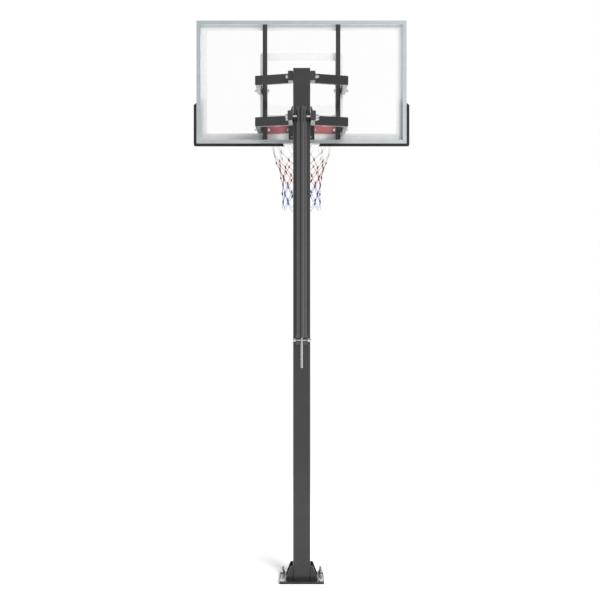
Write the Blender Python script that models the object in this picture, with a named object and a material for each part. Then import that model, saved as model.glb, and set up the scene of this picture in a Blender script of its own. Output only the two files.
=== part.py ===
"""In-ground basketball hoop: a square pole on an anchored base plate, with a backboard on four
arms that a screw jack raises and lowers. Metres, +Z up, +Y towards the playing side, origin at
the centre of the base plate's underside."""

import math

import bmesh
import bpy
from mathutils import Vector

# Fits and finish
GAP = 0.0003
ROUND_SIDES = 24
SHARP_ANGLE = math.radians(32)

# Base plate, gussets and anchors
PLATE_WIDTH = 0.262
PLATE_DEPTH = 0.195
PLATE_THICKNESS = 0.0127
GUSSET_THICKNESS = 0.006
GUSSET_HEIGHT = 0.078
GUSSET_KNEE_HEIGHT = 0.032
GUSSET_TOP_REACH = 0.0155
GUSSET_KNEE_REACH = 0.034
GUSSET_FOOT_REACH = 0.0425
WELD_DEPTH = 0.002
ANCHOR_SPACING_X = 0.227
ANCHOR_SPACING_Y = 0.157
ANCHOR_RADIUS = 0.008
ANCHOR_STICK_OUT = 0.0375
ANCHOR_HOLE_CLEARANCE = 0.001
ANCHOR_NUT_SIZE = 0.024
ANCHOR_NUT_HEIGHT = 0.013
WASHER_RADIUS = 0.0148
WASHER_THICKNESS = 0.003

# Pole and cap
POLE_WIDTH = 0.1016
POLE_WALL = 0.0032
POLE_CORNER = 0.006
POLE_ABOVE_UPPER_PIVOT = 0.034
CAP_THICKNESS = 0.003
CAP_SKIRT_DEPTH = 0.022
CAP_SKIRT_WALL = 0.003

# Arms: a level-tube outline in plan, tilted as one about the pole pivots
LOWER_PIVOT_Z = 2.748
PIVOT_SPACING = 0.254
ARM_LENGTH = 0.479
ARM_TILT = math.radians(3.95)
ARM_WIDTH = 0.031
ARM_HEIGHT = 0.057
ARM_WALL = 0.003
ARM_CORNER = 0.005
ARM_SIDE_CLEARANCE = 0.0004
STUB_TO_DIAGONAL = 0.062
DIAGONAL_TO_LEG = 0.131
UPPER_STUB_TAIL = 0.030
LOWER_STUB_TAIL = 0.145
NOSE_TAPER = 0.026
NOSE_RADIUS = 0.0163
EAR_THICKNESS = 0.0145
EAR_TOP_THICKNESS = 0.005
EAR_RISE = 0.030
EAR_REAR = 0.132
EAR_FRONT = 0.055
EAR_SLOPE = 0.022

# Pivot bolts
BOLT_RADIUS = 0.00635
BOLT_HEAD_SIZE = 0.019
BOLT_HEAD_HEIGHT = 0.0125
NUT_HEIGHT = 0.0125
BOLT_TAIL = 0.009
SLEEVE_WALL = 0.0035

# Screw jack
JACK_LEVER = 0.115
JACK_WIDTH = 0.057
JACK_REAR_DEPTH = 0.018
JACK_FRONT_DEPTH = 0.020
JACK_WALL = 0.0025
JACK_CHAMFER = 0.004
JACK_RIB_RADIUS = 0.013
JACK_RIB_STEPS = 8
JACK_ABOVE_PIN = 0.053
JACK_BOTTOM_Z = 1.450
JACK_TRAVEL_UP = 0.012
JACK_NOTCH_CLEARANCE = 0.003
JACK_PIN_RADIUS = 0.006
JACK_TUBE_RADIUS = 0.0125
JACK_TUBE_WALL = 0.002
JACK_TUBE_TOP_Z = 1.912
JACK_TUBE_FLOOR = 0.006
JACK_NUT_HEIGHT = 0.032
JACK_NUT_LIFT = 0.032
SCREW_RADIUS = 0.008
SCREW_TOP_Z = 2.112
SCREW_COLLAR_RADIUS = 0.0095
SCREW_COLLAR_HEIGHT = 0.008
CRANK_RADIUS = 0.006
CRANK_END_Z = 1.269
FOOT_PIN_BELOW_COLUMN = 0.018
FOOT_PIN_OFFSET = 0.020
FOOT_PIN_RADIUS = 0.005
FOOT_NUT_SIZE = 0.019
FOOT_EYE_CLEARANCE = 0.005
FOOT_EYE_WALL = 0.0035
FOOT_TONGUE_THICKNESS = 0.012
BRACKET_THICKNESS = 0.005
BRACKET_HEIGHT = 0.060
BRACKET_INNER_WIDTH = 0.060
BRACKET_OVERHANG = 0.014

# Backboard frame and glass
BOARD_WIDTH = 1.372
BOARD_HEIGHT = 0.803
PIVOT_ABOVE_BOARD_BOTTOM = 0.093
FRAME_FACE = 0.025
FRAME_DEPTH = 0.048
FRAME_WALL = 0.002
FRAME_LIP = 0.014
FRAME_EDGE = 0.004
GLASS_THICKNESS = 0.005
GLASS_STAND_OFF = 0.0008
UPRIGHT_SPACING = 0.478
UPRIGHT_WIDTH = 0.030
UPRIGHT_DEPTH = 0.035
UPRIGHT_WALL = 0.002

# Corner pads
PAD_WALL = 0.0185
PAD_LIP_SIDE = 0.043
PAD_LIP_BOTTOM = 0.067
PAD_LIP_THICKNESS = 0.016
PAD_REAR_SETBACK = 0.003
PAD_TAPER = 0.0115
PAD_RISE = 0.2525
PAD_END_X = 0.110
PAD_END_SLOPE = 0.76
PAD_CORNER = 0.014
PAD_CORNER_STEPS = 6

# Rim, its bracket and braces
RING_ABOVE_BOARD_BOTTOM = 0.154
RING_INNER_RADIUS = 0.2286
RING_BAR_RADIUS = 0.008
RING_SIDES = 48
RING_BAR_SIDES = 10
RING_TO_BOARD = 0.152
RIM_PLATE_WIDTH = 0.165
RIM_PLATE_THICKNESS = 0.005
RIM_PLATE_TOP = 0.169
RIM_PLATE_BOTTOM = 0.020
NECK_THICKNESS = 0.006
NECK_WIDTH = 0.150
NECK_ANGLE = math.radians(24)
WEB_THICKNESS = 0.005
WEB_SPACING = 0.094
WEB_DROP = 0.075
WEB_REACH = 0.115
RIM_BOLT_RADIUS = 0.00475
RIM_BOLT_SPACING_X = 0.127
RIM_BOLT_SPACING_Z = 0.089
RIM_BOLT_ABOVE_BOARD_BOTTOM = 0.045
RIM_BOLT_HEAD_SIZE = 0.0145
RIM_BOLT_HEAD_HEIGHT = 0.0065
RIM_BOLT_TAIL = 0.012
BRACKET_PLATE = 0.005
RIM_BRACKET_WIDTH = 0.168
RIM_BRACKET_DEPTH = 0.050
RIM_BRACKET_BOTTOM = 0.0262
RIM_BRACKET_TOP = 0.172
BRACE_HEIGHT = 0.051
BRACE_THICKNESS = 0.004
BRACE_TAB = 0.035
BRACE_BOTTOM_RISE = 0.006
BRACE_BOLT_TAIL = 0.001

# Net: radius and drop below the ring's centre at each row of knots
NET_LOOPS = 12
NET_CORD = 0.006
NET_ROWS = (
    (0.2366, 0.0089),
    (0.2010, 0.160),
    (0.1780, 0.213),
    (0.1610, 0.262),
    (0.1465, 0.318),
    (0.1400, 0.368),
    (0.1360, 0.431),
    (0.1385, 0.487),
    (0.1400, 0.542),
)

# Places worked out from the sizes above
PLATE_TOP = PLATE_THICKNESS
POLE_HALF = POLE_WIDTH / 2
UPPER_PIVOT_Z = LOWER_PIVOT_Z + PIVOT_SPACING
POLE_TOP = UPPER_PIVOT_Z + POLE_ABOVE_UPPER_PIVOT
BOARD_PIVOT_Y = ARM_LENGTH * math.cos(ARM_TILT)
BOARD_PIVOT_Z = LOWER_PIVOT_Z + ARM_LENGTH * math.sin(ARM_TILT)
STUB_X = POLE_HALF + ARM_SIDE_CLEARANCE + ARM_WIDTH / 2
UPRIGHT_X = UPRIGHT_SPACING / 2
LEG_X = UPRIGHT_X + UPRIGHT_WIDTH / 2 + ARM_SIDE_CLEARANCE + ARM_WIDTH / 2
JACK_Y = -JACK_LEVER * math.cos(ARM_TILT)
JACK_PIN_Z = LOWER_PIVOT_Z - JACK_LEVER * math.sin(ARM_TILT)
FOOT_PIN_Y = JACK_Y + FOOT_PIN_OFFSET
FOOT_PIN_Z = JACK_BOTTOM_Z - FOOT_PIN_BELOW_COLUMN
FRAME_REAR = BOARD_PIVOT_Y - UPRIGHT_DEPTH / 2
FRAME_FRONT = FRAME_REAR + FRAME_DEPTH
GLASS_REAR = FRAME_REAR + UPRIGHT_DEPTH + GLASS_STAND_OFF
GLASS_FRONT = GLASS_REAR + GLASS_THICKNESS
BOARD_BOTTOM = BOARD_PIVOT_Z - PIVOT_ABOVE_BOARD_BOTTOM
BOARD_TOP = BOARD_BOTTOM + BOARD_HEIGHT
BOARD_HALF = BOARD_WIDTH / 2
RING_Z = BOARD_BOTTOM + RING_ABOVE_BOARD_BOTTOM
RING_RADIUS = RING_INNER_RADIUS + RING_BAR_RADIUS
RIM_PLATE_REAR = GLASS_FRONT + GAP
RIM_PLATE_FRONT = RIM_PLATE_REAR + RIM_PLATE_THICKNESS
RING_Y = GLASS_FRONT + RING_TO_BOARD + RING_INNER_RADIUS
RIM_BRACKET_FRONT = GLASS_REAR - GAP
RIM_BOLT_Z = BOARD_BOTTOM + RIM_BOLT_ABOVE_BOARD_BOTTOM
BRACE_Z = BOARD_PIVOT_Z
BRACE_BOLT_Y = BOARD_PIVOT_Y

TO_X = (0.0, math.pi / 2, 0.0)
TO_Y = (-math.pi / 2, 0.0, 0.0)
UPRIGHT_WAY = (0.0, 0.0, 0.0)


def clear_scene():
    for obj in list(bpy.data.objects):
        bpy.data.objects.remove(obj)


def linear(level):
    return level / 12.92 if level <= 0.04045 else ((level + 0.055) / 1.055) ** 2.4


def make_material(name, hex_colour, roughness, metallic=0.0, alpha=1.0):
    material = bpy.data.materials.new(name)
    material.use_nodes = True
    shader = material.node_tree.nodes["Principled BSDF"]
    levels = [int(hex_colour[place:place + 2], 16) / 255 for place in (0, 2, 4)]
    shader.inputs["Base Color"].default_value = [linear(level) for level in levels] + [1.0]
    shader.inputs["Roughness"].default_value = roughness
    shader.inputs["Metallic"].default_value = metallic
    shader.inputs["Alpha"].default_value = alpha
    return material


def mirror_x(point):
    return Vector((-point[0], point[1], point[2]))


def rounded_rectangle(width, height, radius, steps=3):
    """Points round a rectangle centred on the origin, anticlockwise."""
    points = []
    corners = ((1, 1, 0.0), (-1, 1, 90.0), (-1, -1, 180.0), (1, -1, 270.0))
    for side_u, side_v, start in corners:
        centre_u = side_u * (width / 2 - radius)
        centre_v = side_v * (height / 2 - radius)
        for step in range(steps + 1):
            angle = math.radians(start + 90.0 * step / steps)
            u = centre_u + radius * math.cos(angle)
            v = centre_v + radius * math.sin(angle)
            points.append((u, v))
    return points


def circle(radius, sides=ROUND_SIDES):
    turn = 2 * math.pi / sides
    return [(radius * math.cos(turn * i), radius * math.sin(turn * i)) for i in range(sides)]


def hexagon(across_flats, sides=ROUND_SIDES):
    """A hexagon with as many points as a circle, so that the two can be lofted together."""
    points = []
    for i in range(sides):
        angle = 2 * math.pi * i / sides
        from_flat = (angle + math.pi / 6) % (math.pi / 3) - math.pi / 6
        radius = across_flats / 2 / math.cos(from_flat)
        points.append((radius * math.cos(angle), radius * math.sin(angle)))
    return points


def at_height(outline, z):
    return [Vector((u, v, z)) for u, v in outline]


def make_object(name, mesh_builder, material):
    """An object from a bmesh, its faces turned outwards and its round stretches smooth."""
    bmesh.ops.recalc_face_normals(mesh_builder, faces=mesh_builder.faces)
    mesh = bpy.data.meshes.new(name)
    mesh_builder.to_mesh(mesh)
    mesh_builder.free()
    mesh.shade_smooth()
    mesh.set_sharp_from_angle(angle=SHARP_ANGLE)
    obj = bpy.data.objects.new(name, mesh)
    bpy.context.scene.collection.objects.link(obj)
    if material is not None:
        mesh.materials.append(material)
    return obj


def loft_into(mesh_builder, rings, closed_loop=False):
    """Skins rings of equal length. A closed loop joins the last ring to the first, as in a tube."""
    rows = [[mesh_builder.verts.new(point) for point in ring] for ring in rings]
    count = len(rows[0])
    pairs = list(zip(rows, rows[1:]))
    if closed_loop:
        pairs.append((rows[-1], rows[0]))
    for low, high in pairs:
        for i in range(count):
            j = (i + 1) % count
            mesh_builder.faces.new((low[i], low[j], high[j], high[i]))
    if not closed_loop:
        mesh_builder.faces.new(list(reversed(rows[0])))
        mesh_builder.faces.new(rows[-1])


def loft(name, rings, material, closed_loop=False):
    mesh_builder = bmesh.new()
    loft_into(mesh_builder, rings, closed_loop)
    return make_object(name, mesh_builder, material)


def tube(name, outer, inner, low, high, material):
    """A hollow prism along Z, open at both ends."""
    rings = [at_height(outer, low), at_height(outer, high)]
    rings += [at_height(inner, high), at_height(inner, low)]
    return loft(name, rings, material, closed_loop=True)


def box_rings(low, high):
    (x0, y0, z0), (x1, y1, z1) = low, high
    corners = ((x0, y0), (x1, y0), (x1, y1), (x0, y1))
    return [at_height(corners, z0), at_height(corners, z1)]


def place(obj, location, turn=UPRIGHT_WAY, parent=None):
    """Puts an object at a world place, under an unturned parent empty if it has one."""
    obj.location = Vector(location)
    obj.rotation_euler = turn
    if parent is not None:
        obj.parent = parent
        obj.location -= parent.location
    return obj


def make_axis(name, location):
    empty = bpy.data.objects.new(name, None)
    empty.location = Vector(location)
    empty.empty_display_size = 0.05
    bpy.context.scene.collection.objects.link(empty)
    return empty


def hide_helper(obj):
    obj.hide_render = True
    obj.display_type = "WIRE"
    return obj


def combine(target, helper, operation):
    modifier = target.modifiers.new(operation.title(), "BOOLEAN")
    modifier.operation = operation
    modifier.solver = "EXACT"
    modifier.object = hide_helper(helper)


def drill(target, name, centres, turn, radius, length):
    """Cuts round holes through a target. The centres are world places on the holes' axes."""
    mesh_builder = bmesh.new()
    rings = [at_height(circle(radius), -length / 2), at_height(circle(radius), length / 2)]
    inverse = place_matrix(turn).inverted()
    for centre in centres:
        shift = inverse @ (Vector(centre) - Vector(centres[0]))
        loft_into(mesh_builder, [[point + shift for point in ring] for ring in rings])
    cutter = place(make_object(name, mesh_builder, None), centres[0], turn)
    combine(target, cutter, "DIFFERENCE")


def place_matrix(turn):
    from_euler = bpy.data.objects.new("turn_probe", None)
    from_euler.rotation_euler = turn
    matrix = from_euler.rotation_euler.to_matrix()
    bpy.data.objects.remove(from_euler)
    return matrix


def bolt(name, start, turn, length, radius, head_size, head_height, material, parent=None):
    """A hexagon bolt whose head sits behind start and whose shank runs on along the local Z."""
    rings = [
        at_height(hexagon(head_size), -head_height),
        at_height(hexagon(head_size), 0.0),
        at_height(circle(radius), 0.0),
        at_height(circle(radius), length),
    ]
    return place(loft(name, rings, material), start, turn, parent)


def nut(name, start, turn, radius, size, height, material, parent=None):
    obj = tube(name, hexagon(size), circle(radius + GAP), 0.0, height, material)
    return place(obj, start, turn, parent)


def both_sides():
    return (("left", -1), ("right", 1))


def make_base(steel, zinc):
    low = (-PLATE_WIDTH / 2, -PLATE_DEPTH / 2, 0.0)
    high = (PLATE_WIDTH / 2, PLATE_DEPTH / 2, PLATE_TOP)
    plate = loft("base_plate", box_rings(low, high), steel)
    corners = []
    for end, end_sign in (("rear", -1), ("front", 1)):
        for side, sign in both_sides():
            make_gusset(plate, f"{end}_{side}_gusset", sign, end_sign)
            centre = (sign * ANCHOR_SPACING_X / 2, end_sign * ANCHOR_SPACING_Y / 2, 0.0)
            corners.append(centre)
            make_anchor(f"{end}_{side}", centre, zinc)
    hole = ANCHOR_RADIUS + ANCHOR_HOLE_CLEARANCE
    drill(plate, "anchor_hole_cutter", corners, UPRIGHT_WAY, hole, 4 * PLATE_THICKNESS)


def make_gusset(plate, name, side, end):
    """A five-cornered plate in line with the pole's front or rear face, welded to the base."""
    start = POLE_HALF + GAP
    outline = (
        (start, PLATE_TOP - WELD_DEPTH),
        (start + GUSSET_FOOT_REACH, PLATE_TOP - WELD_DEPTH),
        (start + GUSSET_FOOT_REACH, PLATE_TOP + WELD_DEPTH),
        (start + GUSSET_KNEE_REACH, PLATE_TOP + GUSSET_KNEE_HEIGHT),
        (start + GUSSET_TOP_REACH, PLATE_TOP + GUSSET_HEIGHT),
        (start, PLATE_TOP + GUSSET_HEIGHT),
    )
    outer = end * POLE_HALF
    inner = end * (POLE_HALF - GUSSET_THICKNESS)
    rings = [[Vector((side * x, y, z)) for x, z in outline] for y in (outer, inner)]
    combine(plate, loft(name, rings, None), "UNION")


def make_anchor(corner, centre, zinc):
    x, y, _ = centre
    washer_low = PLATE_TOP + GAP
    nut_low = washer_low + WASHER_THICKNESS
    nut_high = nut_low + ANCHOR_NUT_HEIGHT
    tip = 0.0015
    rings = [
        at_height(circle(ANCHOR_RADIUS), GAP),
        at_height(circle(ANCHOR_RADIUS), PLATE_TOP + ANCHOR_STICK_OUT - tip),
        at_height(circle(ANCHOR_RADIUS - tip), PLATE_TOP + ANCHOR_STICK_OUT),
    ]
    place(loft(f"anchor_stud_{corner}", rings, zinc), (x, y, 0.0))
    bore = circle(ANCHOR_RADIUS + GAP)
    rings = [
        at_height(circle(WASHER_RADIUS), washer_low),
        at_height(circle(WASHER_RADIUS), nut_low),
        at_height(hexagon(ANCHOR_NUT_SIZE), nut_low),
        at_height(hexagon(ANCHOR_NUT_SIZE), nut_high),
        at_height(bore, nut_high),
        at_height(bore, washer_low),
    ]
    place(loft(f"anchor_nut_{corner}", rings, zinc, closed_loop=True), (x, y, 0.0))


def make_pole(steel, plastic):
    outer = rounded_rectangle(POLE_WIDTH, POLE_WIDTH, POLE_CORNER)
    clear_width = POLE_WIDTH - 2 * POLE_WALL
    inner_corner = POLE_CORNER - POLE_WALL
    inner = rounded_rectangle(clear_width, clear_width, inner_corner)
    pole = tube("pole", outer, inner, PLATE_TOP + GAP, POLE_TOP, steel)
    centres = [(0.0, 0.0, LOWER_PIVOT_Z), (0.0, 0.0, UPPER_PIVOT_Z)]
    sleeve_radius = BOLT_RADIUS + GAP + SLEEVE_WALL
    drill(pole, "pivot_hole_cutter", centres, TO_X, sleeve_radius + GAP, 2 * POLE_WIDTH)
    for level, centre in zip(("lower", "upper"), centres):
        sleeve = tube(
            f"pivot_sleeve_{level}",
            circle(sleeve_radius),
            circle(BOLT_RADIUS + GAP),
            -POLE_HALF,
            POLE_HALF,
            steel,
        )
        place(sleeve, centre, TO_X)
    plug_width = clear_width - 2 * GAP
    plug = rounded_rectangle(plug_width, plug_width, inner_corner)
    hollow_width = plug_width - 2 * CAP_SKIRT_WALL
    hollow = rounded_rectangle(hollow_width, hollow_width, inner_corner / 2)
    seat = POLE_TOP + GAP
    rings = [
        at_height(outer, seat + CAP_THICKNESS),
        at_height(outer, seat),
        at_height(plug, seat),
        at_height(plug, seat - CAP_SKIRT_DEPTH),
        at_height(hollow, seat - CAP_SKIRT_DEPTH),
        at_height(hollow, seat),
    ]
    loft("pole_cap", rings, plastic)


def arm_rings(tail, inset):
    """Rings along one arm's plan: stub, diagonal, leg, then the nose that clears the glass."""
    width = ARM_WIDTH - 2 * inset
    corner = ARM_CORNER - inset
    taper = NOSE_RADIUS * math.cos(math.radians(20))
    stations = (
        (STUB_X, -tail, ARM_HEIGHT),
        (STUB_X, STUB_TO_DIAGONAL, ARM_HEIGHT),
        (LEG_X, DIAGONAL_TO_LEG, ARM_HEIGHT),
        (LEG_X, ARM_LENGTH - NOSE_TAPER, ARM_HEIGHT),
        (LEG_X, ARM_LENGTH + NOSE_RADIUS * math.sin(math.radians(20)), 2 * taper),
        (LEG_X, ARM_LENGTH + taper, NOSE_RADIUS),
    )
    rings = []
    for i, (x, y, height) in enumerate(stations):
        here = Vector((x, y))
        before = Vector(stations[max(i - 1, 0)][:2])
        after = Vector(stations[min(i + 1, len(stations) - 1)][:2])
        into = (here - before).normalized() if i > 0 else (after - here).normalized()
        out_of = (after - here).normalized() if i < len(stations) - 1 else into
        across = Vector((into.y + out_of.y, -into.x - out_of.x)).normalized()
        stretch = 1.0 / max(across.dot(Vector((into.y, -into.x))), 0.1)
        outline = rounded_rectangle(width, height - 2 * inset, corner)
        ring = []
        for u, v in outline:
            ring.append(Vector((x + across.x * stretch * u, y + across.y * stretch * u, v)))
        rings.append(ring)
    return rings


def arm_place(y, z, pivot_z):
    """World Y and Z of a place given in the arm's own untilted frame."""
    cos_tilt = math.cos(ARM_TILT)
    sin_tilt = math.sin(ARM_TILT)
    return y * cos_tilt - z * sin_tilt, pivot_z + y * sin_tilt + z * cos_tilt


def make_arm(level, side, sign, pivot_z, tail, pin_lever, steel, parent):
    name = f"{level}_arm_{side}"
    hollow = arm_rings(tail - ARM_WALL, ARM_WALL)
    rings = arm_rings(tail, 0.0) + list(reversed(hollow))
    if sign < 0:
        rings = [[mirror_x(point) for point in ring] for ring in rings]
    arm = loft(name, rings, steel)
    tilt = (ARM_TILT, 0.0, 0.0)
    place(arm, (0.0, 0.0, pivot_z), tilt, parent)
    if pin_lever:
        ear = make_ear(f"{side}_ear", sign)
        place(ear, (0.0, 0.0, pivot_z), tilt)
        combine(arm, ear, "UNION")
        pin_y, pin_z = arm_place(-pin_lever, 0.0, pivot_z)
        pin_hole = [(sign * STUB_X, pin_y, pin_z)]
        drill(arm, f"{name}_pin_cutter", pin_hole, TO_X, JACK_PIN_RADIUS + GAP, 2 * ARM_WIDTH)
    front_y, front_z = arm_place(ARM_LENGTH, 0.0, pivot_z)
    centres = [(sign * STUB_X, 0.0, pivot_z), (sign * LEG_X, front_y, front_z)]
    drill(arm, f"{name}_pivot_cutter", centres, TO_X, BOLT_RADIUS + GAP, 2 * ARM_WIDTH)


def make_ear(name, sign):
    """A guard lug that stands on the stub's inner edge beside the jack, thinner at its top."""
    low = ARM_HEIGHT / 2 - ARM_WALL / 2
    high = ARM_HEIGHT / 2 + EAR_RISE
    outline = (
        (-EAR_REAR, low),
        (-EAR_FRONT, low),
        (-EAR_FRONT, high - EAR_SLOPE),
        (-EAR_FRONT - EAR_SLOPE, high),
        (-EAR_REAR + EAR_SLOPE, high),
        (-EAR_REAR, high - EAR_SLOPE),
    )
    inner = STUB_X - ARM_WIDTH / 2 + GAP
    near = []
    far = []
    for y, z in outline:
        risen = (z - low) / (high - low)
        thickness = EAR_THICKNESS + (EAR_TOP_THICKNESS - EAR_THICKNESS) * risen
        near.append(Vector((sign * inner, y, z)))
        far.append(Vector((sign * (inner + thickness), y, z)))
    return loft(name, [near, far], None)


def pivot_bolt_pair(name, y, z, inner_x, outer_x, sign, zinc, parent):
    """A bolt along X with its head at inner_x and its nut beyond outer_x."""
    turn = (0.0, sign * math.pi / 2, 0.0)
    length = outer_x - inner_x + GAP + NUT_HEIGHT + BOLT_TAIL
    head_x = sign * (inner_x - GAP)
    sizes = (BOLT_HEAD_SIZE, BOLT_HEAD_HEIGHT)
    bolt(f"{name}_bolt", (head_x, y, z), turn, length, BOLT_RADIUS, *sizes, zinc, parent)
    nut_x = sign * (outer_x + GAP)
    nut(f"{name}_nut", (nut_x, y, z), turn, BOLT_RADIUS, BOLT_HEAD_SIZE, NUT_HEIGHT, zinc, parent)


def make_arms(steel, zinc, lower_axis, upper_axis, board_axis):
    stub_outer = STUB_X + ARM_WIDTH / 2
    for side, sign in both_sides():
        make_arm("lower", side, sign, LOWER_PIVOT_Z, LOWER_STUB_TAIL, JACK_LEVER, steel, lower_axis)
        make_arm("upper", side, sign, UPPER_PIVOT_Z, UPPER_STUB_TAIL, 0.0, steel, upper_axis)
        leg_outer = LEG_X + ARM_WIDTH / 2
        inner = UPRIGHT_X - UPRIGHT_WIDTH / 2
        tab = BRACE_THICKNESS + GAP
        upper_z = BOARD_PIVOT_Z + PIVOT_SPACING
        fixed = (leg_outer, sign, zinc, board_axis)
        pivot_bolt_pair(f"lower_front_{side}", BOARD_PIVOT_Y, BOARD_PIVOT_Z, inner - tab, *fixed)
        pivot_bolt_pair(f"upper_front_{side}", BOARD_PIVOT_Y, upper_z, inner, *fixed)
    for level, z in (("lower", LOWER_PIVOT_Z), ("upper", UPPER_PIVOT_Z)):
        pivot_bolt_pair(f"{level}_pivot", 0.0, z, -stub_outer, stub_outer, 1, zinc, None)


def jack_outline(inset):
    """The column's section: a flat-shouldered channel with a half-round rib down its back."""
    half = JACK_WIDTH / 2 - inset
    front = JACK_FRONT_DEPTH - inset
    shoulder = -JACK_REAR_DEPTH + inset
    rib = JACK_RIB_RADIUS - inset
    points = [(-half, front), (-half, shoulder + JACK_CHAMFER), (-half + JACK_CHAMFER, shoulder)]
    for step in range(JACK_RIB_STEPS + 1):
        angle = math.pi * (1 + step / JACK_RIB_STEPS)
        points.append((rib * math.cos(angle), shoulder + rib * math.sin(angle)))
    points += [(half - JACK_CHAMFER, shoulder), (half, shoulder + JACK_CHAMFER), (half, front)]
    return points


def make_jack(steel, zinc, brass, lower_axis, pin_axis, slide_axis, crank_axis):
    top = JACK_PIN_Z + JACK_ABOVE_PIN
    column = tube(
        "jack_column", jack_outline(0.0), jack_outline(JACK_WALL), JACK_BOTTOM_Z, top, steel
    )
    place(column, (0.0, JACK_Y, 0.0), parent=pin_axis)
    pin_centre = [(0.0, JACK_Y, JACK_PIN_Z)]
    drill(column, "jack_pin_cutter", pin_centre, TO_X, JACK_PIN_RADIUS + GAP, 2 * JACK_WIDTH)
    notch_column(column)
    outer = STUB_X + ARM_WIDTH / 2
    length = 2 * outer + 2 * GAP + NUT_HEIGHT + BOLT_TAIL
    start = (-outer - GAP, JACK_Y, JACK_PIN_Z)
    sizes = (BOLT_HEAD_SIZE, BOLT_HEAD_HEIGHT)
    bolt("jack_pin", start, TO_X, length, JACK_PIN_RADIUS, *sizes, zinc, lower_axis)
    end = (outer + GAP, JACK_Y, JACK_PIN_Z)
    nut("jack_pin_nut", end, TO_X, JACK_PIN_RADIUS, BOLT_HEAD_SIZE, NUT_HEIGHT, zinc, lower_axis)
    make_jack_nut(brass, pin_axis)
    make_jack_tube(steel, slide_axis)
    make_screw(zinc, crank_axis)
    make_foot(steel, zinc)


def notch_column(column):
    """Cuts the slot in the column's pole side that the foot tongue rises into."""
    tongue_top = FOOT_PIN_Z + FOOT_PIN_RADIUS + FOOT_EYE_CLEARANCE + FOOT_EYE_WALL + JACK_TUBE_FLOOR / 2
    half = FOOT_TONGUE_THICKNESS / 2 + JACK_NOTCH_CLEARANCE
    inner = JACK_FRONT_DEPTH - 2 * JACK_WALL
    low = (-half, inner, JACK_BOTTOM_Z - JACK_WALL)
    high = (half, inner + 4 * JACK_WALL, tongue_top + JACK_TRAVEL_UP + JACK_NOTCH_CLEARANCE)
    notch = place(loft("jack_notch_cutter", box_rings(low, high), None), (0.0, JACK_Y, 0.0))
    combine(column, notch, "DIFFERENCE")


def make_jack_nut(brass, parent):
    """The travelling nut's block, which fills the column and runs on the screw."""
    half = JACK_WIDTH / 2 - JACK_WALL - GAP
    front = JACK_FRONT_DEPTH - JACK_WALL - GAP
    rear = -JACK_REAR_DEPTH + JACK_WALL + JACK_CHAMFER
    low = JACK_TUBE_TOP_Z + JACK_NUT_LIFT
    block = loft("jack_nut", box_rings((-half, rear, 0.0), (half, front, JACK_NUT_HEIGHT)), brass)
    place(block, (0.0, JACK_Y, low), parent=parent)
    centre = [(0.0, JACK_Y, low + JACK_NUT_HEIGHT / 2)]
    bore = SCREW_RADIUS + GAP
    drill(block, "screw_bore_cutter", centre, UPRIGHT_WAY, bore, 2 * JACK_NUT_HEIGHT)


def make_jack_tube(steel, parent):
    """The inner tube, with a floor for the screw's collar and an eye over the foot pin."""
    eye_radius = FOOT_PIN_RADIUS + FOOT_EYE_CLEARANCE
    tongue_half = eye_radius + FOOT_EYE_WALL
    floor = FOOT_PIN_Z + tongue_half
    outer = circle(JACK_TUBE_RADIUS)
    inner = circle(JACK_TUBE_RADIUS - JACK_TUBE_WALL)
    bore = circle(CRANK_RADIUS + GAP)
    rings = [
        at_height(outer, JACK_TUBE_TOP_Z),
        at_height(outer, floor),
        at_height(bore, floor),
        at_height(bore, floor + JACK_TUBE_FLOOR),
        at_height(inner, floor + JACK_TUBE_FLOOR),
        at_height(inner, JACK_TUBE_TOP_Z),
    ]
    inner_tube = loft("jack_inner_tube", rings, steel, closed_loop=True)
    place(inner_tube, (0.0, JACK_Y, 0.0), parent=parent)
    half = FOOT_TONGUE_THICKNESS / 2
    rear = CRANK_RADIUS + GAP
    front = FOOT_PIN_OFFSET + tongue_half
    low = (-half, rear, FOOT_PIN_Z - tongue_half)
    high = (half, front, floor + JACK_TUBE_FLOOR / 2)
    tongue = place(loft("foot_tongue", box_rings(low, high), None), (0.0, JACK_Y, 0.0))
    combine(inner_tube, tongue, "UNION")
    eye = [(0.0, FOOT_PIN_Y, FOOT_PIN_Z)]
    drill(inner_tube, "foot_eye_cutter", eye, TO_X, eye_radius, JACK_WIDTH)


def make_screw(zinc, parent):
    """The lead screw, with its thrust collar on the tube's floor and the crank shaft below."""
    eye_radius = FOOT_PIN_RADIUS + FOOT_EYE_CLEARANCE
    floor = FOOT_PIN_Z + eye_radius + FOOT_EYE_WALL + JACK_TUBE_FLOOR + GAP
    tip = 0.001
    stations = (
        (CRANK_RADIUS - tip, CRANK_END_Z),
        (CRANK_RADIUS, CRANK_END_Z + tip),
        (CRANK_RADIUS, floor),
        (SCREW_COLLAR_RADIUS, floor),
        (SCREW_COLLAR_RADIUS, floor + SCREW_COLLAR_HEIGHT),
        (SCREW_RADIUS, floor + SCREW_COLLAR_HEIGHT),
        (SCREW_RADIUS, SCREW_TOP_Z),
    )
    screw = loft("jack_screw", [at_height(circle(radius), z) for radius, z in stations], zinc)
    place(screw, (0.0, JACK_Y, 0.0), parent=parent)


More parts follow.
